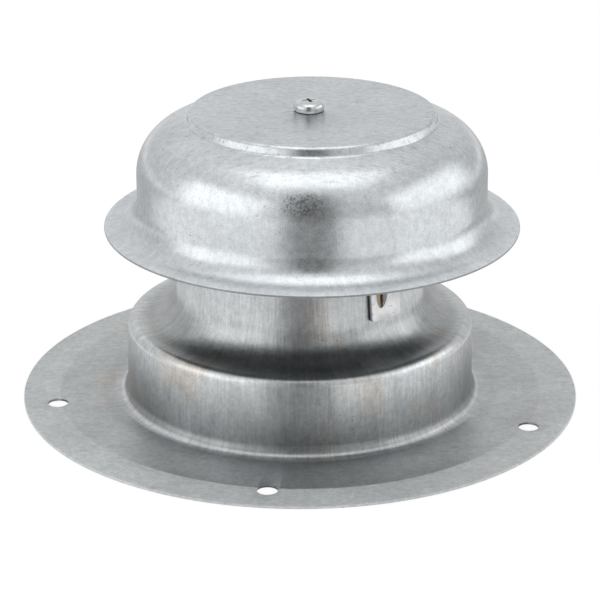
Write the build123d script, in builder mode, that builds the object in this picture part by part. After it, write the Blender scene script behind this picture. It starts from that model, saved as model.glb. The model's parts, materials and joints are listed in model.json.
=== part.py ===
# Galvanised plumbing vent cap: a drawn roof flashing, a clinched strap bracket and a screwed rain cap
#
# Millimetres, +Z up. The origin is the centre of the flange's underside, on the roof surface.
# -Y is the front. The rain cap sits a little off the flashing's axis, along the bracket.

import os
from math import cos, radians, sin, sqrt, tan

from build123d import *

# Stock
base_sheet = 0.7
cap_sheet = 0.6
strap_thickness = 1.2
strap_width = 11.6

# Base flashing, outer faces. The neck grows from the throat, and the collar from the neck
throat_radius = 31.0
lip_run = 5.85
lip_bend = 4.0
neck_height = 64.0
neck_taper = 5.0
neck_bend = 11.0
shoulder_height = 25.9
shoulder_flat = 1.65
shoulder_bend = 3.0
collar_draft = 0.7
collar_bend = 4.0
flange_radius = 89.0

# Roof screw holes in the flange
flange_hole_radius = 3.175
flange_hole_margin = 10.5
flange_hole_count = 5
flange_hole_start = -97.0

# Rain cap, outer faces, from the disc outwards and down
disc_radius = 38.1
disc_bend = 1.5
riser_run = 1.0
riser_height = 2.8
riser_bend = 1.4
dome_slope = 20.0
dome_run = 5.1
dome_bend = 16.0
wall_height = 7.6
brim_bend = 8.5
brim_slope = 12.0
brim_run = 3.75

# Bracket: a strap bent over the throat, with its web under the cap and a foot on each side of the neck
bracket_azimuth = -49.0
web_rise = 29.7
web_inset = 8.1
web_bend = 1.6
leg_bend = 6.0
seat_gap = 0.05
foot_clearance = 0.0
foot_corner = 0.8
screw_shift = 4.2
cap_slip = 1.0
cap_hole_play = 0.2

# Pierced joints: the strap's petals pass through the neck and are clenched inside it
pierce_rise = 8.8
pierce_shift = -1.5
pierce_tilt = 6.5
pierce_length = 10.4
pierce_width = 4.9
pierce_gap = 0.12
petal_sheet = 0.5
petal_gap = 0.5
petal_flare = 1.0
petal_slit = 0.7

# Number ten machine screw, 24 threads to the inch, and its nut
screw_radius = 2.413
screw_length = 9.525
screw_tip = 0.5
head_radius = 4.735
head_height = 3.3
head_round = 1.7
recess_span = 5.0
recess_slot = 1.1
recess_depth = 2.0
recess_taper = 12.0
recess_turn = 20.0
nut_across_flats = 9.53
nut_height = 3.18
nut_chamfer = 0.45
thread_gap = 0.05
web_hole_gap = 0.1

# Places that follow from the sizes
strap_line = Vector(cos(radians(bracket_azimuth)), sin(radians(bracket_azimuth)), 0)
screw_axis_x = screw_shift * strap_line.X
screw_axis_y = screw_shift * strap_line.Y
cap_axis_x = screw_axis_x + cap_slip
cap_axis_y = screw_axis_y
cap_hole_radius = screw_radius + cap_slip + cap_hole_play
web_top = neck_height + web_rise
web_bottom = web_top - strap_thickness
web_half_length = disc_radius - web_inset
disc_height = web_top + cap_sheet
flange_hole_circle = flange_radius - flange_hole_margin
taper_run = tan(radians(neck_taper))
taper_stretch = 1 / cos(radians(neck_taper))
neck_bend_reach = neck_bend * tan(radians(90 - neck_taper) / 2)
foot_height = shoulder_height + neck_bend_reach + foot_clearance


def neck_face(height):
    """Outer radius of the tapered neck at a height."""
    return throat_radius + lip_run + taper_run * (neck_height - height)


def upright_plane(x, y):
    """Plane parallel to XZ through a vertical axis."""
    return Plane(origin=(x, y, 0), x_dir=(1, 0, 0), z_dir=(0, -1, 0))


def lens(length, width):
    """Pointed outline of a pierced joint, upright on its plane."""
    with BuildSketch() as outline:
        with BuildLine():
            ThreePointArc((0, length / 2), (width / 2, 0), (0, -length / 2))
            ThreePointArc((0, -length / 2), (-width / 2, 0), (0, length / 2))
        make_face()
    return outline.sketch


# Plane of each foot's outer face, centred on its pierced joint, which stands aside and leans on the foot
foot_planes = []
for side in (1, -1):
    pierce_height = foot_height + pierce_rise
    face_radius = neck_face(pierce_height) + (seat_gap + strap_thickness) * taper_stretch
    outward = strap_line * (side * cos(radians(neck_taper))) + Vector(0, 0, sin(radians(neck_taper)))
    across = strap_line.rotate(Axis.Z, 90) * side
    middle = strap_line * (side * face_radius) + Vector(0, 0, pierce_height)
    foot_face = Plane(origin=middle + across * pierce_shift, x_dir=across, z_dir=outward)
    foot_planes.append(foot_face.rotated((0, 0, -pierce_tilt)))

# Base flashing: flange, collar, shoulder, tapered neck and turned-in lip, drawn from one sheet
collar_top_radius = neck_face(shoulder_height) + neck_bend_reach + shoulder_flat + shoulder_bend
with BuildPart() as base_flashing:
    with BuildSketch(Plane.XZ):
        with BuildLine():
            FilletPolyline(
                (flange_radius, base_sheet),
                (collar_top_radius + collar_draft, base_sheet),
                (collar_top_radius, shoulder_height),
                (neck_face(shoulder_height), shoulder_height),
                (neck_face(neck_height), neck_height),
                (throat_radius, neck_height),
                radius=[collar_bend, shoulder_bend, neck_bend, lip_bend],
            )
            offset(amount=base_sheet, side=Side.LEFT)
        make_face()
    revolve(axis=Axis.Z)
    with BuildSketch():
        with PolarLocations(flange_hole_circle, flange_hole_count, start_angle=flange_hole_start):
            Circle(flange_hole_radius)
    extrude(amount=base_sheet, mode=Mode.SUBTRACT)
    for foot in foot_planes:
        with BuildSketch(foot):
            add(lens(pierce_length + 2 * pierce_gap, pierce_width + 2 * pierce_gap))
        extrude(amount=-strap_thickness - 2 * base_sheet, mode=Mode.SUBTRACT)

# Rain cap: raised disc, dome and flared brim, drawn from one sheet
riser_foot_x = disc_radius + riser_run
riser_foot_z = disc_height - riser_height
dome_start_x = riser_foot_x + dome_run
dome_start_z = riser_foot_z - dome_run * tan(radians(dome_slope))
with BuildPart() as rain_cap:
    with BuildSketch(upright_plane(cap_axis_x, cap_axis_y)):
        with BuildLine():
            FilletPolyline(
                (cap_hole_radius, disc_height),
                (disc_radius, disc_height),
                (riser_foot_x, riser_foot_z),
                (dome_start_x, dome_start_z),
                radius=[disc_bend, riser_bend],
            )
            dome = JernArc(
                (dome_start_x, dome_start_z),
                (cos(radians(dome_slope)), -sin(radians(dome_slope))),
                dome_bend,
                dome_slope - 90,
            )
            wall = Line(dome @ 1, dome @ 1 - (0, wall_height))
            root = JernArc(wall @ 1, (0, -1), brim_bend, 90 - brim_slope)
            Line(root @ 1, root @ 1 + (brim_run, -brim_run * tan(radians(brim_slope))))
            offset(amount=cap_sheet, side=Side.RIGHT)
        make_face()
    revolve(axis=Axis((cap_axis_x, cap_axis_y, 0), (0, 0, 1)))

# Bracket: one bent strap, and the petals struck out of its feet
with BuildPart() as bracket:
    strap_plane = Plane(origin=(0, 0, 0), x_dir=strap_line, z_dir=strap_line.rotate(Axis.Z, -90))
    leg_foot = (neck_face(foot_height) + seat_gap * taper_stretch, foot_height)
    leg_knee = (neck_face(neck_height) + seat_gap * taper_stretch, neck_height)
    with BuildSketch(strap_plane):
        with BuildLine():
            FilletPolyline(
                leg_foot,
                leg_knee,
                (web_half_length, web_bottom),
                (-web_half_length, web_bottom),
                (-leg_knee[0], leg_knee[1]),
                (-leg_foot[0], leg_foot[1]),
                radius=[leg_bend, web_bend, web_bend, leg_bend],
            )
            offset(amount=strap_thickness, side=Side.RIGHT)
        make_face()
    extrude(amount=strap_width / 2, both=True)
    fillet(bracket.edges().filter_by(lambda e: abs(e.length - strap_thickness) < 1e-3), foot_corner)
    with Locations((screw_axis_x, screw_axis_y, web_top)):
        Hole(screw_radius + web_hole_gap, strap_thickness)
    clench_depth = strap_thickness + seat_gap + base_sheet + petal_gap
    for foot in foot_planes:
        with BuildSketch(foot.offset(-strap_thickness / 2)):
            add(lens(pierce_length, pierce_width))
        extrude(amount=strap_thickness / 2 - clench_depth - petal_sheet)
        with BuildSketch(foot.offset(-clench_depth)):
            add(lens(pierce_length, pierce_width + 2 * petal_flare))
        extrude(amount=-petal_sheet)
        with BuildSketch(foot):
            add(lens(pierce_length - 2 * petal_sheet, pierce_width - 2 * petal_sheet))
        extrude(amount=-clench_depth - petal_sheet, mode=Mode.SUBTRACT)
        with BuildSketch(foot.offset(-strap_thickness)):
            Rectangle(petal_slit, pierce_length)
        extrude(amount=strap_thickness - clench_depth - petal_sheet, mode=Mode.SUBTRACT)

# Cap screw: pan head with a cross recess
with BuildPart() as cap_screw:
    with BuildSketch(Plane((screw_axis_x, screw_axis_y, disc_height))):
        Circle(head_radius)
    extrude(amount=head_height)
    fillet(cap_screw.edges().group_by(Axis.Z)[-1], head_round)
    with BuildSketch(Plane((screw_axis_x, screw_axis_y, disc_height))):
        Circle(screw_radius)
    extrude(amount=-screw_length)
    chamfer(cap_screw.edges().group_by(Axis.Z)[0], screw_tip)
    with BuildSketch(Plane((screw_axis_x, screw_axis_y, disc_height + head_height))):
        with PolarLocations(0, 2, start_angle=recess_turn, angular_range=180):
            Rectangle(recess_span, recess_slot)
    extrude(amount=-recess_depth, taper=recess_taper, mode=Mode.SUBTRACT)

# Nut under the bracket's web, its corners turned off at both ends
with BuildPart() as screw_nut:
    with BuildSketch(Plane((screw_axis_x, screw_axis_y, web_bottom))):
        RegularPolygon(nut_across_flats / 2, 6, major_radius=False, rotation=bracket_azimuth)
        Circle(screw_radius + thread_gap, mode=Mode.SUBTRACT)
    extrude(amount=-nut_height)
    with BuildSketch(upright_plane(screw_axis_x, screw_axis_y)):
        with BuildLine():
            corner = nut_across_flats / sqrt(3)
            Polyline(
                (0, web_bottom),
                (nut_across_flats / 2, web_bottom),
                (corner, web_bottom - nut_chamfer),
                (corner, web_bottom - nut_height + nut_chamfer),
                (nut_across_flats / 2, web_bottom - nut_height),
                (0, web_bottom - nut_height),
                close=True,
            )
        make_face()
    revolve(axis=Axis((screw_axis_x, screw_axis_y, 0), (0, 0, 1)), mode=Mode.INTERSECT)

base_flashing.part.label = "base_flashing"
rain_cap.part.label = "rain_cap"
bracket.part.label = "bracket"
cap_screw.part.label = "cap_screw"
screw_nut.part.label = "screw_nut"

os.makedirs("parts", exist_ok=True)
export_step(base_flashing.part, "parts/base_flashing.step")
export_step(rain_cap.part, "parts/rain_cap.step")
export_step(bracket.part, "parts/bracket.step")
export_step(cap_screw.part, "parts/cap_screw.step")
export_step(screw_nut.part, "parts/screw_nut.step")
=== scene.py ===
"""Looks of a galvanised plumbing vent cap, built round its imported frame.

Metres, +Z up, -Y is the front, as in the frame. The two drawn shells and the screw are modelled here at
the frame's sizes, so that their faces are smooth under reflections. The bracket is the frame's own strap,
with its edges broken and its petals folded in. The nut stays as it is in the frame.
"""

import json
import logging
from collections.abc import Callable, Sequence
from dataclasses import dataclass, field
from enum import Enum
from functools import reduce
from math import atan2, cos, pi, radians, sin, tan
from typing import NamedTuple

import bpy
from mathutils import Matrix, Vector

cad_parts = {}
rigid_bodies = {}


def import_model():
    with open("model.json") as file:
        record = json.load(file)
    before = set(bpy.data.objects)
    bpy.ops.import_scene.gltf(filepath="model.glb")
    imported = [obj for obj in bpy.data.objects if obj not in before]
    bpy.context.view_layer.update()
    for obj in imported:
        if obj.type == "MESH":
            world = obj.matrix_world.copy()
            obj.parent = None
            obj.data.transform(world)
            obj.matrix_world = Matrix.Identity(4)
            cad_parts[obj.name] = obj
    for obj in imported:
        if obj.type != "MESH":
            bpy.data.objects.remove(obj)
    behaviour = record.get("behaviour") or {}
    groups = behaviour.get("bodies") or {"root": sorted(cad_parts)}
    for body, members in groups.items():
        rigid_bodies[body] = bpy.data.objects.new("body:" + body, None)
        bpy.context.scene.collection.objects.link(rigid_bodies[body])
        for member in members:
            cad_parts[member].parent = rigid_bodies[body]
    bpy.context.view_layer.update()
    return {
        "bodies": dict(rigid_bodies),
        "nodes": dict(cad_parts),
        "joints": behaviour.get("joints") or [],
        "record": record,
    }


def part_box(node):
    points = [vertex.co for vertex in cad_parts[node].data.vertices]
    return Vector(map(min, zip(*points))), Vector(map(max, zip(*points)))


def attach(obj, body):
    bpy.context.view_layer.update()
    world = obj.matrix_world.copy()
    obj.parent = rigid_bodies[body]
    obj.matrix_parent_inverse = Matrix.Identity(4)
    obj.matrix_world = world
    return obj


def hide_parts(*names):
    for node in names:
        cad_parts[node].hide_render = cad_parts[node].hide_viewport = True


log = logging.getLogger("vent_cap")

MM = 0.001
INNER_FACE = "inner_face"
INNER_LIMIT = -0.1  # A face that points further in or down than this is an inner one
ROUND_CARD_CORNERS = 48

Spot = tuple[float, float]
Point = tuple[float, float, float]
Colour = tuple[float, float, float]
Piece = bpy.types.Object
Socket = bpy.types.NodeSocket
Value = Socket | float


# Modelling helpers


class Corner(NamedTuple):
    """A corner of a sheet's section, with the bend that rounds it. All in metres."""

    radius: float
    height: float
    bend: float = 0.0


class Sheet(Enum):
    """Which side of a section's path the metal lies on, seen along the path."""

    LEFT = 1
    RIGHT = -1


def added(name: str, data: bpy.types.ID) -> Piece:
    """Puts a new object into the scene.

    Args:
        name: The object's name.
        data: Its mesh, light or camera.

    Returns:
        The new object.
    """
    piece = bpy.data.objects.new(name, data)
    bpy.context.scene.collection.objects.link(piece)
    return piece


def rest_selection() -> None:
    """Deselects every object, because operators act on all that is selected."""
    bpy.ops.object.select_all(action="DESELECT")


def activate(piece: Piece) -> None:
    """Selects one piece alone and makes it active.

    Args:
        piece: The object to work on.
    """
    rest_selection()
    piece.select_set(True)
    bpy.context.view_layer.objects.active = piece


def edit(piece: Piece, work: Callable[[], None]) -> None:
    """Runs edit-mode operators on the whole of a piece.

    Args:
        piece: The object to open.
        work: Calls the operators.
    """
    activate(piece)
    bpy.ops.object.mode_set(mode="EDIT")
    bpy.ops.mesh.select_all(action="SELECT")
    work()
    bpy.ops.object.mode_set(mode="OBJECT")


def apply_place(piece: Piece) -> None:
    """Moves a piece's place into its mesh, as a CAD node's is."""
    activate(piece)
    bpy.ops.object.transform_apply(location=True, rotation=True, scale=True)


def apply_modifier(piece: Piece, kind: str, **settings: object) -> None:
    """Adds a modifier, sets it and applies it.

    Args:
        piece: The object to change.
        kind: The modifier's type, such as BEVEL.
        **settings: Values of the modifier's own settings.
    """
    activate(piece)
    modifier = piece.modifiers.new(kind.title(), kind)
    for name, value in settings.items():
        setattr(modifier, name, value)
    bpy.ops.object.modifier_apply(modifier=modifier.name)


def break_edges(piece: Piece, width: float, angle: float = 50.0) -> None:
    """Bevels the edges of a piece that are sharper than an angle in degrees."""
    apply_modifier(piece, "BEVEL", width=width, segments=2, limit_method="ANGLE", angle_limit=radians(angle))


def smooth(piece: Piece, angle: float) -> None:
    """Shades a piece smooth, apart from edges sharper than an angle in degrees."""
    activate(piece)
    bpy.ops.object.shade_smooth_by_angle(angle=radians(angle))


def section_piece(name: str, outline: Sequence[Spot], closed: bool = True) -> Piece:
    """Makes a wire of a section in the XZ plane, ready to spin about Z.

    Args:
        name: The piece's name.
        outline: Points as radius and height.
        closed: Whether the last point joins the first.

    Returns:
        The new object.
    """
    count = len(outline)
    mesh = bpy.data.meshes.new(name)
    edges = [(i, (i + 1) % count) for i in range(count if closed else count - 1)]
    mesh.from_pydata([(radius, 0.0, height) for radius, height in outline], edges, [])
    return added(name, mesh)


def spin_about(piece: Piece, steps: int) -> None:
    """Spins a section once round Z and points its faces outwards.

    Args:
        piece: The wire to spin.
        steps: Faces round the axis.
    """

    def work() -> None:
        """Spins, closes the seam and mends the normals."""
        bpy.ops.mesh.spin(steps=steps, angle=2 * pi, center=(0, 0, 0), axis=(0, 0, 1))
        bpy.ops.mesh.select_all(action="SELECT")
        bpy.ops.mesh.remove_doubles(threshold=1e-7)
        bpy.ops.mesh.normals_make_consistent(inside=False)

    edit(piece, work)


def sheet_outline(corners: Sequence[Corner], thickness: float, side: Sheet, bend_steps: int) -> list[Spot]:
    """Outline of a bent sheet: its face through the rounded corners, and the face one thickness away.

    Args:
        corners: The face's corners in order, the first and last without a bend.
        thickness: The sheet's thickness.
        side: Where the metal lies, seen along the path.
        bend_steps: Stretches in a bend of a right angle.

    Returns:
        The closed outline as radius and height.
    """
    stations: list[tuple[Vector, Vector]] = []
    points = [Vector((c.radius, c.height)) for c in corners]
    for i, corner in enumerate(corners):
        before = (points[i] - points[i - 1]).normalized() if i else None
        after = (points[i + 1] - points[i]).normalized() if i + 1 < len(points) else None
        if before is None or after is None or not corner.bend:
            way = before or after
            stations.append((points[i], Vector((-way.y, way.x))))
            continue
        turn = atan2(before.x * after.y - before.y * after.x, before.dot(after))
        hand = 1 if turn > 0 else -1
        start = points[i] - before * corner.bend * tan(abs(turn) / 2)
        centre = start + Vector((-before.y, before.x)) * hand * corner.bend
        steps = max(3, round(bend_steps * abs(turn) / (pi / 2)))
        for step in range(steps + 1):
            spoke = Vector(start - centre)
            spoke.rotate(Matrix.Rotation(turn * step / steps, 2))
            stations.append((centre + spoke, -spoke.normalized() * hand))
    face = [(p.x, p.y) for p, _ in stations]
    back = [(p.x + n.x * thickness * side.value, p.y + n.y * thickness * side.value) for p, n in stations]
    return face + back[::-1]


def shifted(piece: Piece, x: float, y: float) -> None:
    """Moves a piece sideways in its mesh."""
    piece.location = (x, y, 0)
    apply_place(piece)


def cut_away(piece: Piece, cutter: Piece) -> None:
    """Cuts one piece out of another, and deletes the cutter."""
    apply_modifier(piece, "BOOLEAN", operation="DIFFERENCE", solver="EXACT", object=cutter)
    bpy.data.objects.remove(cutter)


def mark_inner_face(piece: Piece, axis: Spot) -> None:
    """Notes which faces of a spun sheet lie on its inside, where they point in or down.

    Args:
        piece: The sheet.
        axis: Where its own axis stands.
    """
    marks = []
    for face in piece.data.polygons:
        spoke = Vector((face.center.x - axis[0], face.center.y - axis[1], 0.0)).normalized()
        marks.append(float(face.normal.dot(spoke) + face.normal.z < INNER_LIMIT))
    piece.data.attributes.new(INNER_FACE, "FLOAT", "FACE").data.foreach_set("value", marks)


# Finishes


class NodeNet:
    """A node tree, with short calls for what the finishes and the studio need."""

    def __init__(self, tree: bpy.types.NodeTree) -> None:
        """Opens a tree."""
        self.nodes = tree.nodes
        self.links = tree.links

    def put(self, socket: Socket, value: Value | Colour) -> None:
        """Links or sets one input.

        Args:
            socket: The input.
            value: A socket to link, or a number or colour to set.
        """
        if isinstance(value, Socket):
            self.links.new(value, socket)
        elif socket.type == "RGBA":
            socket.default_value = (*value, 1.0)
        else:
            socket.default_value = value

    def math(self, operation: str, *values: Value) -> Socket:
        """Adds a Math node.

        Args:
            operation: The node's operation.
            *values: Sockets or numbers, one for each input.

        Returns:
            The result's socket.
        """
        node = self.nodes.new("ShaderNodeMath")
        node.operation = operation
        for socket, value in zip(node.inputs, values):
            self.put(socket, value)
        return node.outputs[0]

    def total(self, *values: Value) -> Socket:
        """Adds values up."""
        return reduce(lambda first, second: self.math("ADD", first, second), values)

    def product(self, *values: Value) -> Socket:
        """Multiplies values together."""
        return reduce(lambda first, second: self.math("MULTIPLY", first, second), values)

    def less(self, value: Value, taken: Value) -> Socket:
        """Takes one value from another."""
        return self.math("SUBTRACT", value, taken)

    def length(self, x: Value, y: Value) -> Socket:
        """Length of a vector of two values."""
        return self.math("SQRT", self.total(self.product(x, x), self.product(y, y)))

    def toned(self, mask: Value, tone: float) -> Socket:
        """Goes from 1 to a tone as a mask goes from 0 to 1."""
        return self.math("MULTIPLY_ADD", mask, tone - 1.0, 1.0)

    def step(self, value: Value, low: float, high: float, start: float = 0.0, end: float = 1.0) -> Socket:
        """Eases from start to end as a value goes from low to high.

        Args:
            value: What the step follows.
            low: Where it starts.
            high: Where it ends.
            start: The result up to the low end.
            end: The result past the high end.

        Returns:
            The result's socket.
        """
        node = self.nodes.new("ShaderNodeMapRange")
        node.interpolation_type = "SMOOTHSTEP"
        for name, number in (("From Min", low), ("From Max", high), ("To Min", start), ("To Max", end)):
            node.inputs[name].default_value = number
        self.put(node.inputs["Value"], value)
        return node.outputs["Result"]

    def soft(self, noise: Value, start: float = 0.0, end: float = 1.0) -> Socket:
        """Eases from start to end over the middle of a noise's values."""
        return self.step(noise, 0.3, 0.7, start, end)

    def split(self, vector: Socket) -> tuple[Socket, ...]:
        """Splits a vector into X, Y and Z.

        Args:
            vector: The vector's socket.

        Returns:
            Its three values.
        """
        node = self.nodes.new("ShaderNodeSeparateXYZ")
        self.put(node.inputs[0], vector)
        return tuple(node.outputs)

    def join(self, x: Value, y: Value, z: Value) -> Socket:
        """Makes a vector of three values.

        Args:
            x, y, z: The values.

        Returns:
            The vector's socket.
        """
        node = self.nodes.new("ShaderNodeCombineXYZ")
        for socket, value in zip(node.inputs, (x, y, z)):
            self.put(socket, value)
        return node.outputs[0]

    def blend(self, factor: Value, first: Socket | Colour, second: Socket | Colour) -> Socket:
        """Mixes two colours.

        Args:
            factor: How much of the second shows.
            first: The colour at 0.
            second: The colour at 1.

        Returns:
            The colour's socket.
        """
        node = self.nodes.new("ShaderNodeMix")
        node.data_type = "RGBA"
        colours = [socket for socket in node.inputs if socket.type == "RGBA"]
        for socket, value in zip((node.inputs["Factor"], *colours), (factor, first, second)):
            self.put(socket, value)
        return next(s for s in node.outputs if s.type == "RGBA")

    def shade(self, colour: Socket | Colour, amount: Value) -> Socket:
        """Multiplies a colour by a value.

        Args:
            colour: The colour.
            amount: What it is multiplied by.

        Returns:
            The colour's socket.
        """
        node = self.nodes.new("ShaderNodeVectorMath")
        node.operation = "SCALE"
        self.put(node.inputs[0], colour)
        self.put(node.inputs["Scale"], amount)
        return node.outputs[0]

    def attribute(self, name: str) -> Socket:
        """Reads an attribute of the piece's own mesh.

        Args:
            name: The attribute's name.

        Returns:
            Its value.
        """
        node = self.nodes.new("ShaderNodeAttribute")
        node.attribute_name = name
        return node.outputs["Fac"]

    def bump(
        self, height: Value, distance: float, strength: float = 1.0, under: Socket | None = None
    ) -> Socket:
        """Adds a Bump node over another one, if there is one.

        Args:
            height: The relief, as a value.
            distance: How deep it goes for a value of 1.
            strength: How much of it shows.
            under: The normal that another Bump node gives.

        Returns:
            The normal's socket.
        """
        node = self.nodes.new("ShaderNodeBump")
        node.inputs["Distance"].default_value = distance
        node.inputs["Strength"].default_value = strength
        self.put(node.inputs["Height"], height)
        if under is not None:
            self.put(node.inputs["Normal"], under)
        return node.outputs[0]

    def seen(self) -> Socket:
        """Is 1 for rays that see the backdrop: from the camera, off metal or through glass.

        Returns:
            The test's socket.
        """
        path = self.nodes.new("ShaderNodeLightPath").outputs
        glossy = self.math("MAXIMUM", path["Is Camera Ray"], path["Is Glossy Ray"])
        return self.math("MAXIMUM", glossy, path["Is Transmission Ray"])


class FinishNet(NodeNet):
    """The node tree of a new material on Object coordinates."""

    def __init__(self, name: str) -> None:
        """Makes a plain material.

        Args:
            name: The material's name.
        """
        self.material = bpy.data.materials.new(name)
        self.material.use_nodes = True
        super().__init__(self.material.node_tree)
        self.shader = self.nodes["Principled BSDF"]
        self.place = self.nodes.new("ShaderNodeTexCoord").outputs["Object"]

    def coat(self, socket: str, value: Value | Colour) -> None:
        """Links or sets one of the shader's inputs."""
        self.put(self.shader.inputs[socket], value)

    def noise(
        self, scale: float, detail: float = 2.0, rough: float = 0.5, place: Socket | None = None
    ) -> Socket:
        """Adds a Noise Texture.

        Args:
            scale: Lumps in each unit of the place.
            detail: Finer layers.
            rough: Weight of the finer layers.
            place: Where it is read, if not on the piece itself.

        Returns:
            The noise's value, about 0.5 on average.
        """
        node = self.nodes.new("ShaderNodeTexNoise")
        self.put(node.inputs["Vector"], place or self.place)
        for name, number in (("Scale", scale), ("Detail", detail), ("Roughness", rough)):
            node.inputs[name].default_value = number
        return node.outputs["Fac"]

    def glow(self, strength: float) -> Socket:
        """Adds a white glow.

        Args:
            strength: How bright it is, where 1 is white.

        Returns:
            The shader's socket.
        """
        node = self.nodes.new("ShaderNodeEmission")
        node.inputs["Strength"].default_value = strength
        return node.outputs[0]

    def surface(self, shader: Socket) -> None:
        """Puts a shader in place of the material's own."""
        self.put(self.nodes["Material Output"].inputs["Surface"], shader)


@dataclass(frozen=True)
class DrawnSteel:
    """Galvanised sheet: rolled where it stays flat, and streaked where it was drawn into a wall.

    Lengths are in metres and colours are linear. A tone multiplies the metal's own colour, and a scale
    is lumps of noise in each metre. Some tones paint shade or highlight into that colour, as noted below.

    Attributes:
        axis: Where the sheet's own axis stands.
        ring_radius: Where the blank was clamped while it was drawn. It keeps matt zinc outside it.
        ring_blur, ring_matt: Half the width over which the zinc turns matt, and how matt it gets.
        under_shade, edge_tone: Painted shade on the sheet's inner face, and the tone of its sheared edge at
            edge_radius.
        streak_depth, streak_shade: Relief of the draw lines, and how much they show in the tone.
        scratch_shade: How much the rolling scratches show in the tone.
        flat_radius, rim_radius: Where a flat middle ends and a flat rim begins, if the sheet has them.
        ring_tone: Tone of what slid through the clamp, inside the ring.
        foot_shade, crest_light: Painted shade at the foot of the base's collar, and painted light at its
            top.
        bend_shade, neck_light: Painted shade in the bend at the neck's foot, and painted light above it.
        front_patch: How dark the speckled patch on the front of the dome is, if there is one.
    """

    slot: str
    bright: Colour
    dull: Colour
    stain: Colour
    stain_amount: float
    roughness: float
    axis: Spot
    ring_radius: float
    ring_blur: float
    ring_matt: float
    under_shade: float
    edge_radius: float
    edge_tone: float
    streak_depth: float
    streak_shade: float
    scratch_shade: float
    flat_radius: float = -1.0
    rim_radius: float = 1.0
    ring_tone: float = 1.0
    foot_shade: float = 1.0
    crest_light: float = 1.0
    bend_shade: float = 1.0
    neck_light: float = 1.0
    front_patch: float = 0.0
    front_patch_x: float = 1.0 * MM
    front_patch_z: float = 81.5 * MM
    front_patch_wide: float = 8.0 * MM
    front_patch_tall: float = 3.6 * MM
    front_patch_scale: float = 1500.0
    cloud_scale: float = 45.0
    cloud_relief: float = 0.10 * MM
    cloud_strength: float = 0.12
    mottle_scale: float = 520.0
    mottle_tone: float = 0.08
    grain: float = 0.5
    fleck_size: float = 0.5 * MM
    fleck_depth: float = 0.009 * MM
    speck_scale: float = 1100.0
    speck_shade: float = 0.45
    stain_scale: float = 38.0
    stain_outside: float = 0.25
    matt_roughness: float = 0.25
    matt_zinc: float = 0.55
    fine_lines: float = 56.0
    broad_lines: float = 9.0
    broad_share: float = 0.6

    def material(self) -> bpy.types.Material:
        """Builds the node material.

        Returns:
            The material.
        """
        net = FinishNet(self.slot)
        x, y, z = net.split(net.place)
        off_x, off_y = net.less(x, self.axis[0]), net.less(y, self.axis[1])
        radius = net.length(off_x, off_y)
        drawn = self._drawn(net, radius)
        fine, broad = self._streaks(net, off_x, off_y, radius, z)
        rolled = net.less(1.0, drawn)
        scratch = net.product(self._scratches(net, x, y, z), rolled, self.scratch_shade)
        clouds = net.noise(self.cloud_scale, 4.0, 0.6)
        mottle = net.noise(self.mottle_scale, 3.0, 0.6)
        flecks = net.noise(1 / self.fleck_size, 2.0, 0.7)
        dots = net.step(net.noise(self.speck_scale, 2.0, 0.7), 0.66, 0.74)
        specks = net.product(dots, net.step(clouds, 0.40, 0.6))
        ring_start, ring_end = self.ring_radius - self.ring_blur, self.ring_radius + self.ring_blur
        matt = net.step(radius, ring_start, ring_end, 0.0, self.ring_matt)
        within = net.math("LESS_THAN", radius, self.ring_radius)
        clamped = net.product(net.step(radius, 58 * MM, 64 * MM), within)

        colour = net.blend(net.soft(clouds), self.dull, self.bright)
        patches = net.noise(self.stain_scale, 3.0, 0.55)
        stain = net.step(patches, 0.52, 0.72, 0.0, self.stain_amount)
        stain = net.product(stain, net.step(radius, 60 * MM, 72 * MM, 1.0, self.stain_outside))
        colour = net.blend(stain, colour, self.stain)
        grain = net.math("MULTIPLY_ADD", net.less(flecks, 0.5), self.grain, 1.0)
        tone = net.product(grain, net.soft(mottle, 1.0 - self.mottle_tone, 1.0 + self.mottle_tone))
        line = net.product(drawn, net.less(fine, 0.5), self.streak_shade)
        cloud_line = net.product(drawn, net.less(broad, 0.5), self.broad_share * self.streak_shade)
        tone = net.total(tone, line, cloud_line)
        tone = net.less(net.less(tone, scratch), net.product(specks, self.speck_shade))
        edge = net.step(radius, self.edge_radius - 0.22 * MM, self.edge_radius - 0.08 * MM)
        # Painted shade and highlight on the base's collar and neck, and the tone of the clamped ring.
        tone = net.product(tone, self._painted_shade_and_light(net, radius, z), net.toned(clamped, self.ring_tone))
        # The edge tone paints a highlight along the base's rim, and a darker line along the cap's brim.
        tone = net.product(tone, net.toned(edge, self.edge_tone))
        # Dark specks in one patch on the front of the dome.
        if self.front_patch:
            tone = net.less(tone, net.product(self._front_patch(net, x, y, z), self.front_patch))
        # Painted shade on the sheet's inner faces, which point in or down.
        tone = net.product(tone, net.toned(net.attribute(INNER_FACE), self.under_shade))
        net.coat("Base Color", net.shade(colour, tone))

        rough = net.total(
            net.soft(clouds, self.roughness + 0.04, self.roughness - 0.03),
            net.product(scratch, 0.5),
            net.product(net.less(mottle, 0.5), 0.10),
            net.product(matt, self.matt_roughness),
            net.product(clamped, 1.0 - self.ring_tone),
        )
        net.coat("Roughness", rough)
        net.coat("Metallic", net.less(1.0, net.product(matt, self.matt_zinc)))

        normal = net.bump(clouds, self.cloud_relief, self.cloud_strength)
        normal = net.bump(net.product(fine, drawn), self.streak_depth, 1.0, normal)
        net.coat("Normal", net.bump(flecks, self.fleck_depth, 1.0, normal))
        return net.material

    def _drawn(self, net: FinishNet, radius: Value) -> Socket:
        """Mask that is 1 on drawn walls, and 0 on the flats that keep their rolled surface."""
        out = net.step(radius, self.flat_radius, self.flat_radius + 6 * MM)
        return net.product(out, net.step(radius, self.rim_radius - 6 * MM, self.rim_radius, 1.0, 0.0))

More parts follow.
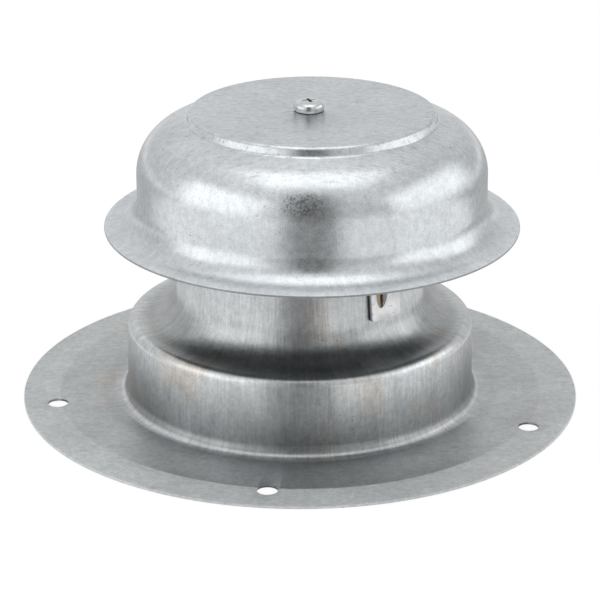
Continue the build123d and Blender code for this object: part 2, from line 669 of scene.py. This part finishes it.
    def _front_patch(self, net: FinishNet, x: Value, y: Value, z: Value) -> Socket:
        """Dark specks in one patch on the front of the dome.

        Args:
            net: The finish's nodes.
            x, y, z: Place on the piece.

        Returns:
            The mask.
        """
        wide = net.math("DIVIDE", net.less(x, self.front_patch_x), self.front_patch_wide)
        tall = net.math("DIVIDE", net.less(z, self.front_patch_z), self.front_patch_tall)
        front = net.math("LESS_THAN", y, 0.0)
        patch = net.product(net.step(net.length(wide, tall), 0.5, 1.15, 1.0, 0.0), front)
        dots = net.noise(self.front_patch_scale, 2.0, 0.7)
        return net.product(patch, net.step(dots, 0.42, 0.60))

    def _painted_shade_and_light(self, net: FinishNet, radius: Value, height: Value) -> Socket:
        """Painted shade and light on the base's collar and neck.

        The collar is painted darker low down and lighter up to its crest, with a painted highlight line in
        the fillet at its foot and milder painted shade below that line. The neck is painted darker in its
        bend.

        Args:
            net: The finish's nodes.
            radius: Distance from the sheet's axis.
            height: Height on the piece.

        Returns:
            The tone.
        """
        inside = net.step(radius, 49.5 * MM, 52.5 * MM)
        collar = net.product(inside, net.step(radius, 60 * MM, 66 * MM, 1.0, 0.0))
        rise = net.step(height, 2 * MM, 25 * MM, self.foot_shade - 1.0, self.crest_light - 1.0)
        above_line = net.step(height, 1.55 * MM, 2.3 * MM, -0.25, 1.0)
        below_line = net.step(height, 0.95 * MM, 1.3 * MM, 0.55, 0.0)
        rise = net.product(rise, net.total(above_line, below_line))
        bend = net.step(height, 29 * MM, 39 * MM, self.bend_shade - 1.0, self.neck_light - 1.0)
        neck = net.product(net.step(radius, 47.5 * MM, 51.0 * MM, 1.0, 0.0), bend)
        return net.total(1.0, net.product(collar, rise), neck)

    def _streaks(self, net: FinishNet, off_x: Value, off_y: Value, radius: Value, z: Value) -> list[Socket]:
        """Fine and broad draw lines that run up the walls, the same all the way round.

        Args:
            net: The finish's nodes.
            off_x, off_y: Place beside the sheet's axis.
            radius: Distance from it.
            z: Height on the piece.

        Returns:
            The fine lines and the broad ones.
        """
        way = net.math("DIVIDE", off_x, radius), net.math("DIVIDE", off_y, radius)
        wander = net.noise(70.0, 2.0)
        lines = []
        kinds = ((self.fine_lines, 110.0, 4.0, 0.65), (self.broad_lines, 60.0, 3.0, 0.55))
        for count, climb, detail, rough in kinds:
            along = net.total(net.product(z, climb), wander)
            round_wall = net.join(net.product(way[0], count), net.product(way[1], count), along)
            lines.append(net.noise(1.0, detail, rough, round_wall))
        return lines

    def _scratches(self, net: FinishNet, x: Value, y: Value, z: Value) -> Socket:
        """Short dashes along the rolling direction, X."""
        stretched = net.join(net.product(x, 190.0), net.product(y, 1700.0), net.product(z, 900.0))
        return net.step(net.noise(1.0, 2.0, 0.6, stretched), 0.54, 0.74)


@dataclass(frozen=True)
class StrapSteel:
    """Matt galvanised strap: rust on one petal of its pierced joints, painted shade in them and behind its
    feet.

    Attributes:
        joint: One of the joints, for its place on the foot.
        joint_reach: How far up and down from its middle the joint is looked for.
        joint_half_width: How far across.
        foot_top: Height up to which the strap lies on the neck.
        petal_shade: How much painted shade darkens the petals below the strap's face.
        slit_aside: How far across the joint its slit stands.
    """

    joint: "PiercedJoint"
    slot: str = "strap_steel"
    zinc: Colour = (0.74, 0.745, 0.75)
    rust: Colour = (0.50, 0.38, 0.25)
    # Dark rust, and the painted shade in the joints' slits.
    dark_rust_and_slit_shade: Colour = (0.07, 0.035, 0.018)
    joint_reach: float = 6.0 * MM
    joint_half_width: float = 3.2 * MM
    foot_top: float = 56.0 * MM
    petal_shade: float = 0.60
    slit_aside: float = 0.5 * MM

    def material(self) -> bpy.types.Material:
        """Builds the node material.

        Returns:
            The material.
        """
        net = FinishNet(self.slot)
        x, y, z = net.split(net.place)
        turn, lean = radians(self.joint.azimuth), radians(self.joint.taper)
        along = net.total(net.product(x, cos(turn)), net.product(y, sin(turn)))
        sideways = net.total(net.product(x, -sin(turn)), net.product(y, cos(turn)))
        rise = net.less(z, self.joint.height)
        middle = net.math("MULTIPLY_ADD", rise, tan(radians(self.joint.tilt)), self.joint.aside)
        across = net.less(net.product(sideways, net.math("SIGN", along)), middle)
        upright = net.math("MULTIPLY_ADD", rise, sin(lean), -self.joint.reach * cos(lean))
        proud = net.math("MULTIPLY_ADD", net.math("ABSOLUTE", along), cos(lean), upright)
        near_x = net.math("LESS_THAN", net.math("ABSOLUTE", across), self.joint_half_width)
        near_z = net.math("LESS_THAN", net.math("ABSOLUTE", rise), self.joint_reach)
        # Painted shade on the petals, which lie below the strap's face in the joint.
        in_joint = net.product(near_x, near_z, net.step(proud, -0.16 * MM, -0.04 * MM, 1.0, 0.0))
        # Painted shade on the strap's sides and back where they lie against the neck.
        foot = net.math("LESS_THAN", z, self.foot_top)
        crevice_shade = net.product(foot, net.step(proud, -1.2 * MM, -0.6 * MM, 0.75, 0.0))
        patches = net.noise(420.0, 4.0, 0.7)
        side = net.step(across, self.slit_aside, self.slit_aside + 0.5 * MM, 0.35, -0.08)
        rust = net.product(in_joint, net.step(net.total(patches, side), 0.46, 0.58))
        # Painted shade in the slit, in the dark rust colour.
        from_slit = net.math("ABSOLUTE", net.less(across, self.slit_aside))
        slit = net.step(from_slit, 0.35 * MM, 0.75 * MM, 1.0, 0.0)
        dots = net.step(net.noise(800.0, 2.0, 0.6), 0.60, 0.70)
        clouds = net.noise(160.0, 3.0, 0.6)
        tone = net.less(net.soft(clouds, 0.86, 1.08), net.product(dots, 0.4))
        tone = net.product(tone, net.toned(in_joint, 1.0 - self.petal_shade), net.less(1.0, crevice_shade))
        dark = net.math("MAXIMUM", slit, net.step(patches, 0.60, 0.74))
        rusty = net.blend(dark, self.rust, self.dark_rust_and_slit_shade)
        net.coat("Base Color", net.blend(rust, net.shade(self.zinc, tone), rusty))
        net.coat("Metallic", net.less(1.0, net.product(rust, 0.9)))
        net.coat("Roughness", net.total(net.soft(clouds, 0.46, 0.38), net.product(rust, 0.3)))
        grain = net.noise(1900.0, 2.0)
        net.coat("Normal", net.bump(grain, 0.008 * MM, 1.0, net.bump(clouds, 0.05 * MM, 0.4)))
        return net.material


@dataclass(frozen=True)
class ZincPlate:
    """Bright zinc plate on the fasteners, with painted shade in the screw's recess.

    Attributes:
        axis: Where the screw's axis stands.
        top: Height of the head's crown.
        seat: Height of the head's seat, which the painted shade stays above.
        recess_radius: How far out the painted shade reaches.
    """

    axis: Spot
    top: float
    seat: float
    slot: str = "fastener_zinc"
    light: Colour = (0.74, 0.76, 0.77)
    dark: Colour = (0.58, 0.59, 0.60)
    recess_shade: Colour = (0.07, 0.07, 0.065)
    recess_radius: float = 2.6 * MM

    def material(self) -> bpy.types.Material:
        """Builds the node material.

        Returns:
            The material.
        """
        net = FinishNet(self.slot)
        clouds = net.noise(500.0, 3.0, 0.6)
        x, y, z = net.split(net.place)
        radius = net.length(net.less(x, self.axis[0]), net.less(y, self.axis[1]))
        inside = net.step(radius, self.recess_radius - 0.4 * MM, self.recess_radius, 1.0, 0.0)
        sunk = net.step(z, self.top - 0.38 * MM, self.top - 0.20 * MM, 1.0, 0.0)
        recess = net.product(inside, sunk, net.math("GREATER_THAN", z, self.seat))
        zinc = net.blend(net.step(clouds, 0.35, 0.65), self.dark, self.light)
        # Painted shade in the screw's recess.
        net.coat("Base Color", net.blend(recess, zinc, self.recess_shade))
        net.coat("Roughness", net.soft(clouds, 0.26, 0.16))
        net.coat("Metallic", 1.0)
        net.coat("Normal", net.bump(net.noise(2600.0, 2.0), 0.006 * MM))
        return net.material


Finish = DrawnSteel | StrapSteel | ZincPlate


def dress(piece: Piece, finish: Finish) -> None:
    """Gives a piece one finish."""
    piece.data.materials.clear()
    piece.data.materials.append(finish.material())


# The part


def axis_of(node: str) -> Spot:
    """Where a turned node's axis stands."""
    low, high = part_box(node)
    return (low.x + high.x) / 2, (low.y + high.y) / 2


def radius_of(node: str) -> float:
    """How far a turned node reaches from its axis."""
    low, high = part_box(node)
    return (high.x - low.x) / 2


@dataclass
class BaseFlashing:
    """The roof flashing: flange, collar, shoulder, tapered neck and turned-in lip."""

    sheet: float = 0.7 * MM
    collar_foot_radius: float = 55.6 * MM
    collar_top_radius: float = 54.9 * MM
    collar_bend: float = 4.0 * MM
    shoulder_height: float = 25.9 * MM
    shoulder_bend: float = 3.0 * MM
    neck_foot_radius: float = 40.18 * MM
    neck_top_radius: float = 36.85 * MM
    neck_bend: float = 11.0 * MM
    lip_bend: float = 4.0 * MM
    throat_radius: float = 31.0 * MM
    hole_radius: float = 3.175 * MM
    hole_circle: float = 78.5 * MM
    hole_sides: int = 48
    hole_count: int = 5
    hole_start: float = -97.0
    edge_bevel: float = 0.12 * MM
    spin_steps: int = 288
    bend_steps: int = 12

    def build(self) -> Piece:
        """Spins the sheet and pierces its roof screw holes.

        Returns:
            The flashing.
        """
        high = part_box("base_flashing")[1]
        corners = [
            Corner(high.x, self.sheet),
            Corner(self.collar_foot_radius, self.sheet, self.collar_bend),
            Corner(self.collar_top_radius, self.shoulder_height, self.shoulder_bend),
            Corner(self.neck_foot_radius, self.shoulder_height, self.neck_bend),
            Corner(self.neck_top_radius, high.z, self.lip_bend),
            Corner(self.throat_radius, high.z),
        ]
        outline = sheet_outline(corners, self.sheet, Sheet.LEFT, self.bend_steps)
        piece = section_piece("flashing_sheet", outline)
        spin_about(piece, self.spin_steps)
        for i in range(self.hole_count):
            turn = radians(self.hole_start + 360 * i / self.hole_count)
            place = (self.hole_circle * cos(turn), self.hole_circle * sin(turn), 0)
            rest_selection()
            bpy.ops.mesh.primitive_cylinder_add(
                vertices=self.hole_sides, radius=self.hole_radius, depth=4 * self.sheet, location=place
            )
            cut_away(piece, bpy.context.object)
        for joint in JOINTS:
            cut_away(piece, joint.pass_hole())
        break_edges(piece, self.edge_bevel)
        mark_inner_face(piece, (0.0, 0.0))
        smooth(piece, 35)
        return piece

    def finish(self) -> DrawnSteel:
        """The darker, warmer sheet of the base.

        Returns:
            The finish.
        """
        return DrawnSteel(
            slot="flashing_steel",
            bright=(0.58, 0.605, 0.615),
            dull=(0.51, 0.53, 0.54),
            stain=(0.52, 0.46, 0.40),
            stain_amount=0.6,
            roughness=0.33,
            axis=(0.0, 0.0),
            rim_radius=self.collar_foot_radius + self.collar_bend + 4 * MM,
            ring_radius=77.3 * MM,
            edge_radius=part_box("base_flashing")[1].x,
            # A painted highlight along the flange's rim.
            edge_tone=1.35,
            ring_blur=0.5 * MM,
            ring_matt=1.0,
            ring_tone=0.92,
            # Painted shade low on the collar and in the neck's bend, painted light at the collar's crest.
            foot_shade=0.56,
            crest_light=1.16,
            bend_shade=0.78,
            neck_light=1.02,
            # Painted shade on the flashing's inner faces.
            under_shade=0.8,
            streak_depth=0.05 * MM,
            streak_shade=0.65,
            scratch_shade=0.14,
        )


@dataclass
class RainCap:
    """The domed cap with its raised disc and flared brim."""

    sheet: float = 0.6 * MM
    hole_radius: float = 3.613 * MM
    disc_radius: float = 38.1 * MM
    disc_bend: float = 1.5 * MM
    riser_run: float = 1.0 * MM
    riser_height: float = 2.8 * MM
    riser_bend: float = 1.4 * MM
    dome_radius: float = 54.73 * MM
    dome_slope: float = 20.0
    dome_bend: float = 16.0 * MM
    brim_bend: float = 8.5 * MM
    brim_slope: float = 12.0
    edge_bevel: float = 0.12 * MM
    spin_steps: int = 288
    bend_steps: int = 16

    def build(self) -> Piece:
        """Spins the sheet about the cap's axis.

        Returns:
            The cap.
        """
        low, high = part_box("rain_cap")
        brim_radius = radius_of("rain_cap")
        brim_end = low.z + self.sheet * cos(radians(self.brim_slope))
        riser_foot = self.disc_radius + self.riser_run
        slope_drop = (self.dome_radius - riser_foot) * tan(radians(self.dome_slope))
        brim_drop = (brim_radius - self.dome_radius) * tan(radians(self.brim_slope))
        corners = [
            Corner(self.hole_radius, high.z),
            Corner(self.disc_radius, high.z, self.disc_bend),
            Corner(riser_foot, high.z - self.riser_height, self.riser_bend),
            Corner(self.dome_radius, high.z - self.riser_height - slope_drop, self.dome_bend),
            Corner(self.dome_radius, brim_end + brim_drop, self.brim_bend),
            Corner(brim_radius, brim_end),
        ]
        outline = sheet_outline(corners, self.sheet, Sheet.RIGHT, self.bend_steps)
        piece = section_piece("cap_sheet", outline)
        spin_about(piece, self.spin_steps)
        break_edges(piece, self.edge_bevel)
        shifted(piece, *axis_of("rain_cap"))
        mark_inner_face(piece, axis_of("rain_cap"))
        smooth(piece, 35)
        return piece

    def finish(self) -> DrawnSteel:
        """The lighter, bluish sheet of the cap.

        Returns:
            The finish.
        """
        return DrawnSteel(
            slot="cap_steel",
            bright=(0.69, 0.72, 0.74),
            dull=(0.62, 0.65, 0.67),
            stain=(0.54, 0.56, 0.58),
            stain_amount=0.4,
            roughness=0.29,
            axis=axis_of("rain_cap"),
            flat_radius=self.dome_radius - 9 * MM,
            ring_radius=62.5 * MM,
            edge_radius=radius_of("rain_cap"),
            # A darker line along the edge of the brim.
            edge_tone=0.5,
            front_patch=0.5,
            ring_blur=2.5 * MM,
            ring_matt=0.9,
            # Painted shade on the cap's inner faces, under its brim.
            under_shade=0.62,
            streak_depth=0.012 * MM,
            streak_shade=0.22,
            scratch_shade=0.30,
        )


@dataclass
class CapScrew:
    """The pan-head screw that holds the cap: crowned head, cross recess and a threaded shank."""

    head_height: float = 3.3 * MM
    skirt_height: float = 1.35 * MM
    crown_fullness: float = 2.5
    foot_round: float = 0.42 * MM
    shank_radius: float = 2.1 * MM
    thread_radius: float = 2.41 * MM
    thread_pitch: float = 25.4 / 24 * MM
    thread_steps: int = 48
    recess_span: float = 6.0 * MM
    recess_slot: float = 1.5 * MM
    recess_depth: float = 2.0 * MM
    recess_turn: float = 20.0
    recess_taper: float = 0.45
    tip: float = 0.5 * MM
    edge_bevel: float = 0.08 * MM
    crown_steps: int = 20
    spin_steps: int = 96

    def build(self) -> list[Piece]:
        """Turns the head, sinks its recess and cuts the thread.

        Returns:
            The head with its shank, and the thread.
        """
        low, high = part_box("cap_screw")
        centre, head_radius = axis_of("cap_screw"), radius_of("cap_screw")
        seat = high.z - self.head_height
        skirt = seat + self.skirt_height
        power = 2 / self.crown_fullness
        outline = [(0.0, high.z)]
        for step in range(1, self.crown_steps):
            turn = pi / 2 * step / self.crown_steps
            outline.append((head_radius * sin(turn) ** power, skirt + (high.z - skirt) * cos(turn) ** power))
        outline += [
            (head_radius, skirt),
            (head_radius, seat + self.foot_round),
            (head_radius - 0.35 * self.foot_round, seat + 0.3 * self.foot_round),
            (head_radius - self.foot_round, seat),
            (self.shank_radius, seat),
            (self.shank_radius, low.z + self.tip),
            (self.shank_radius - self.tip, low.z),
            (0.0, low.z),
        ]
        head = section_piece("screw_head", outline, closed=False)
        spin_about(head, self.spin_steps)
        for turn in (self.recess_turn, self.recess_turn + 90):
            cut_away(head, self._wing(high.z, turn))
        break_edges(head, self.edge_bevel, 40)
        shifted(head, *centre)
        smooth(head, 38)
        thread = self._thread(low.z + self.tip, seat)
        shifted(thread, *centre)
        return [head, thread]

    def _wing(self, top: float, turn: float) -> Piece:
        """One wing of the driver's tip, narrower at its foot.

        Args:
            top: Height of the head's crown.
            turn: The wing's angle in degrees.

        Returns:
            The cutter.
        """
        rest_selection()
        bpy.ops.mesh.primitive_cube_add(size=1.0, location=(0, 0, top), rotation=(0, 0, radians(turn)))
        wing = bpy.context.object
        wing.scale = (self.recess_span, self.recess_slot, 2 * self.recess_depth)
        for vertex in wing.data.vertices:
            if vertex.co.z < 0:
                vertex.co.x *= self.recess_taper
                vertex.co.y *= self.recess_taper
        apply_place(wing)
        return wing

    def _thread(self, foot: float, top: float) -> Piece:
        """A ridge wound round the shank at the thread's pitch.

        Args:
            foot: Height where it starts.
            top: Height where it ends.

        Returns:
            The thread.
        """
        half = self.thread_pitch / 2
        turns = int((top - foot - self.thread_pitch) / self.thread_pitch)
        root, crest = self.shank_radius - 0.02 * MM, self.thread_radius
        ridge = [(root, foot), (crest, foot + 0.8 * half), (crest, foot + half), (root, foot + 1.8 * half)]
        piece = section_piece("screw_thread", ridge, closed=False)
        winding = {"angle": 2 * pi, "screw_offset": self.thread_pitch, "iterations": turns}
        steps = {"steps": self.thread_steps, "render_steps": self.thread_steps}
        apply_modifier(piece, "SCREW", axis="Z", use_normal_calculate=True, **winding, **steps)
        smooth(piece, 30)
        return piece

    def finish(self) -> ZincPlate:
        """Bright zinc, with painted shade in the recess."""
        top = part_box("cap_screw")[1].z
        return ZincPlate(axis_of("cap_screw"), top, top - self.head_height)


@dataclass(frozen=True)
class PiercedJoint:
    """A lens-shaped joint in a foot, where the strap's metal is folded in through the neck.

    Across, up the foot and outwards are its own axes, from the middle of the foot's outer face.
    """

    azimuth: float
    taper: float = 5.0
    height: float = 44.78 * MM
    reach: float = 39.786 * MM
    aside: float = -1.5 * MM
    tilt: float = 6.5
    half_length: float = 5.15 * MM
    half_width: float = 2.40 * MM
    slit_length: float = 2.6 * MM
    slit_width: float = 0.36 * MM
    slit_aside: float = 0.50 * MM
    depth: float = 0.80 * MM
    petal_sheet: float = 0.30 * MM
    petal_start: float = -0.12 * MM
    pass_gap: float = 0.17 * MM
    points: int = 48

    def place(self) -> Matrix:
        """Where the joint stands on its foot.

        Returns:
            Its matrix.
        """
        turn, lean = radians(self.azimuth), radians(self.taper)
        outward = Vector((cos(turn) * cos(lean), sin(turn) * cos(lean), sin(lean)))
        across = Vector((-sin(turn), cos(turn), 0.0))
        up = outward.cross(across)
        middle = Vector((cos(turn), sin(turn), 0.0)) * self.reach + Vector((0.0, 0.0, self.height))
        shift = Matrix.Translation(middle + across * self.aside)
        facing = Matrix((across, up, outward)).transposed().to_4x4()
        return shift @ facing @ Matrix.Rotation(radians(-self.tilt), 4, "Z")

    def ring(self, length: float, width: float, level: float, aside: float = 0.0) -> list[Point]:
        """One pointed ring of the joint.

        Args:
            length: Half its length, up the foot.
            width: Half its width.
            level: How far out it lies.
            aside: How far across its middle lies.

        Returns:
            Its points in order.
        """
        half = self.points // 2
        side = [(width * sin(pi * i / half) ** 1.15, -length * cos(pi * i / half)) for i in range(half)]
        return [(aside + x, y, level) for x, y in side] + [(aside - x, -y, level) for x, y in side]

    def loft(self, name: str, rings: Sequence[list[Point]], capped: bool) -> Piece:
        """Bridges rings into a skin.

        Args:
            name: The piece's name.
            rings: Rings of the same count, from the foot's face inwards.
            capped: Whether both ends are filled.

        Returns:
            The piece, standing on its foot.
        """
        mesh = bpy.data.meshes.new(name)
        spots = [spot for ring in rings for spot in ring]
        starts = [row * self.points for row in range(len(rings))]
        edges = [(start + i, start + (i + 1) % self.points) for start in starts for i in range(self.points)]
        mesh.from_pydata(spots, edges, [])
        piece = added(name, mesh)

        def work() -> None:
            """Bridges the rings, and fills the ends of a solid."""
            bpy.ops.mesh.bridge_edge_loops()
            if capped:
                bpy.ops.mesh.select_all(action="DESELECT")
                bpy.ops.mesh.select_non_manifold()
                bpy.ops.mesh.fill_holes(sides=0)
                bpy.ops.mesh.select_all(action="SELECT")
                bpy.ops.mesh.normals_make_consistent(inside=False)

        edit(piece, work)
        piece.matrix_world = self.place()
        apply_place(piece)
        return piece

    def hull(self, start: float) -> list[list[Point]]:
        """Rings of the folded metal, from its mouth to the slit.

        Args:
            start: How far out the mouth stands.

        Returns:
            The rings.
        """
        rings = [self.ring(self.half_length, self.half_width, start)]
        for share in (0.12, 0.35, 0.6, 0.8, 1.0):
            lean = share**1.3
            length = self.half_length + (self.slit_length - self.half_length) * lean
            width = self.half_width + (self.slit_width - self.half_width) * lean
            rings.append(self.ring(length, width, -self.depth * share, self.slit_aside * lean))
        return rings

    def petals(self) -> Piece:
        """The folded metal that shows in the joint, down to its slit.

        Returns:
            The petals of one joint.
        """
        piece = self.loft("joint_petals", self.hull(self.petal_start), capped=False)
        apply_modifier(piece, "SOLIDIFY", thickness=self.petal_sheet, offset=0.0)
        edit(piece, lambda: bpy.ops.mesh.normals_make_consistent(inside=False))
        smooth(piece, 40)
        return piece

    def mouth(self) -> Piece:
        """Cutter that opens the strap's face to the joint's pointed mouth."""
        outside = self.ring(self.half_length, self.half_width, 1 * MM)
        return self.loft("mouth_cutter", [outside] + self.hull(0.0), capped=True)

    def pass_hole(self) -> Piece:
        """Cutter of the hole that the petals pass in the neck.

        Returns:
            The cutter.
        """
        length, width = self.half_length + self.pass_gap, self.half_width + self.pass_gap
        rings = [self.ring(length, width, level) for level in (-0.9 * MM, -3.0 * MM)]
        return self.loft("neck_cutter", rings, capped=True)


JOINTS = (PiercedJoint(-49.0), PiercedJoint(131.0))


@dataclass
class Bracket:
    """The strap over the throat, with a pierced joint in each foot."""

    edge_round: float = 0.14 * MM
    flat_angle: float = 4.0

    def build(self, frame: dict) -> Piece:
        """Copies the frame's strap and breaks its sheared edges.


        Returns:
            The strap.
        """
        piece = added("strap", frame["nodes"]["bracket"].data.copy())

        def work() -> None:
            """Merges the loose triangles and clears the flats."""
            bpy.ops.mesh.remove_doubles(threshold=1e-6)
            bpy.ops.mesh.dissolve_limited(angle_limit=radians(self.flat_angle))

        edit(piece, work)
        for joint in JOINTS:
            cut_away(piece, joint.mouth())
        break_edges(piece, self.edge_round)
        smooth(piece, 35)
        return piece

    def finish(self) -> StrapSteel:
        """Matt strap."""
        return StrapSteel(JOINTS[0])


# The studio


@dataclass(frozen=True)
class Softbox:
    """A rectangular studio light."""

    name: str
    place: Point
    target: Point
    width: float
    depth: float
    glow: float

    def add(self) -> None:
        """Hangs the light and aims it."""
        data = bpy.data.lights.new(self.name, "AREA")
        data.shape = "RECTANGLE"
        data.size = self.width
        data.size_y = self.depth
        data.energy = self.glow * pi * self.width * self.depth
        lamp = added(self.name, data)
        lamp.location = self.place
        way = Vector(self.target) - Vector(self.place)
        lamp.rotation_euler = way.to_track_quat("-Z", "Y").to_euler()
        lamp.visible_camera = False


@dataclass(frozen=True)
class Flag:
    """A grey studio card that metal reflects, and that neither the camera nor a light's beam meets."""

    name: str
    corners: tuple[Point, ...]
    grey: float

    def add(self) -> None:
        """Sets up the card."""
        mesh = bpy.data.meshes.new(self.name)
        mesh.from_pydata(self.corners, [], [tuple(range(len(self.corners)))])
        card = added(self.name, mesh)
        net = FinishNet(self.name)
        net.surface(net.glow(self.grey))
        mesh.materials.append(net.material)
        for ray in ("camera", "diffuse", "shadow", "transmission"):
            setattr(card, f"visible_{ray}", False)


def round_card(radius: float, height: float) -> tuple[Point, ...]:
    """Corners of a round card that lies flat."""
    turns = [2 * pi * i / ROUND_CARD_CORNERS for i in range(ROUND_CARD_CORNERS)]
    return tuple((radius * cos(turn), radius * sin(turn), height) for turn in turns)


def studio_cards() -> tuple[Flag, ...]:
    """Cards of the studio.

    One stands behind the camera, one lies on the table before the part, two lie behind it, and two lie
    under it: a round one, and a darker one that shows through the flange's holes.

    Returns:
        The cards.
    """
    half, front, top = 0.22, -0.80, 1.15
    upright = ((-half, front, 0.0), (half, front, 0.0), (half, front, top), (-half, front, top))
    narrow, wide, near, lie = 0.03, 0.23, -0.092, 1.5 * MM
    table = ((-narrow, near, lie), (narrow, near, lie), (wide, front, lie), (-wide, front, lie))
    reach, start, low = 0.90, 0.10, 1.0 * MM
    left = ((-reach, start / 2, low), (0.0, start, low), (0.0, reach, low), (-reach, reach, low))
    right = ((0.0, start, low), (reach, start / 2, low), (reach, reach, low), (0.0, reach, low))
    return (
        Flag("camera_card", upright, 0.16),
        Flag("table_card", table, 0.29),
        Flag("near_card", round_card(0.105, -0.15 * MM), 0.45),
        # Painted shade: the hole card stands for the shaded floor under the flange, as metal sees it.
        Flag("hole_card", round_card(0.0885, -0.10 * MM), 0.14),
        Flag("back_left_card", left, 0.55),
        Flag("back_right_card", right, 0.50),
    )


@dataclass
class Studio:
    """Floor, lights, grey cards and camera, as the photograph was taken."""

    camera_place: Point = (0.0, -0.69704, 0.30426)
    camera_pitch: float = 21.48
    lens: float = 140.45
    sensor: float = 36.0
    floor_half: float = 3.0
    floor_height: float = -0.2 * MM
    floor_albedo: float = 0.86
    floor_glow: float = 1.06
    floor_share: float = 0.82
    wall_grey: float = 0.69
    softboxes: tuple[Softbox, ...] = (
        Softbox("overhead", (0.0, -0.05, 0.75), (0.0, -0.05, 0.0), 0.60, 0.46, 0.64),
        Softbox("left", (-0.62, -0.34, 0.32), (0.0, -0.04, 0.14), 0.80, 0.50, 0.76),
        Softbox("right", (0.71, -0.07, 0.33), (0.0, -0.04, 0.14), 0.92, 0.46, 0.90),
    )
    flags: tuple[Flag, ...] = field(default_factory=studio_cards)

    def build(self) -> None:
        """Sets up the whole studio."""
        self._camera()
        self._world()
        self._floor()
        for light in self.softboxes:
            light.add()
        for flag in self.flags:
            flag.add()

    def _camera(self) -> None:
        """Stands the camera where the photograph was taken."""
        data = bpy.data.cameras.new("camera")
        data.sensor_width = self.sensor
        data.lens = self.lens
        camera = added("camera", data)
        camera.location = self.camera_place
        camera.rotation_euler = (radians(90 - self.camera_pitch), 0, 0)
        bpy.context.scene.camera = camera

    def _world(self) -> None:
        """A pale wall, darker at the sides and on the right, and white at the horizon and to the camera."""
        world = bpy.data.worlds.new("studio")
        bpy.context.scene.world = world
        world.use_nodes = True
        net = NodeNet(world.node_tree)
        x, _, z = net.split(net.nodes.new("ShaderNodeTexCoord").outputs["Generated"])
        wall = net.less(net.math("MULTIPLY_ADD", z, 0.20, self.wall_grey), net.product(x, 0.09))
        wall = net.less(wall, net.step(net.math("ABSOLUTE", x), 0.25, 0.85, 0.0, 0.13))
        horizon = net.step(z, 0.0, 0.07, 1.0, 0.0)
        level = net.math("MULTIPLY_ADD", net.less(1.0, wall), horizon, wall)
        seen = net.nodes.new("ShaderNodeLightPath").outputs["Is Camera Ray"]
        background = net.nodes["Background"]
        background.inputs["Color"].default_value = (1, 1, 1, 1)
        net.put(background.inputs["Strength"], net.math("MAXIMUM", level, seen))

    def _floor(self) -> None:
        """Lays the pale floor, which is white where it is seen and keeps the object's shadow."""
        rest_selection()
        bpy.ops.mesh.primitive_plane_add(size=2 * self.floor_half, location=(0, 0, self.floor_height))
        floor = bpy.context.object
        floor.name = "floor"
        net = FinishNet("floor")
        net.coat("Base Color", (self.floor_albedo,) * 3)
        net.coat("Roughness", 1.0)
        net.coat("Specular IOR Level", 0.0)
        mix = net.nodes.new("ShaderNodeMixShader")
        share = net.product(net.seen(), self.floor_share)
        for socket, value in zip(mix.inputs, (share, net.shader.outputs[0], net.glow(self.floor_glow))):
            net.put(socket, value)
        net.surface(mix.outputs[0])
        floor.data.materials.append(net.material)


def main() -> None:
    """Builds the pieces in order, dresses them and sets up the studio."""
    logging.basicConfig(level=logging.INFO)
    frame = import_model()
    bpy.context.scene.view_settings.view_transform = "Standard"

    flashing = BaseFlashing()
    cap = RainCap()
    screw = CapScrew()
    bracket = Bracket()
    work = [
        (flashing.build(), flashing.finish(), "base_flashing", "base"),
        (bracket.build(frame), bracket.finish(), "bracket", "base"),
        (cap.build(), cap.finish(), "rain_cap", "cap"),
    ]
    work += [(joint.petals(), bracket.finish(), "bracket", "base") for joint in JOINTS]
    work += [(piece, screw.finish(), "cap_screw", "screw") for piece in screw.build()]
    for piece, finish, node, body in work:
        dress(piece, finish)
        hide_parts(node)
        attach(piece, body)
        log.info("%s stands for %s on %s, %d faces", piece.name, node, body, len(piece.data.polygons))
    dress(frame["nodes"]["screw_nut"], screw.finish())
    log.info("screw_nut keeps its own mesh")

    Studio().build()


if __name__ == "__main__":
    main()
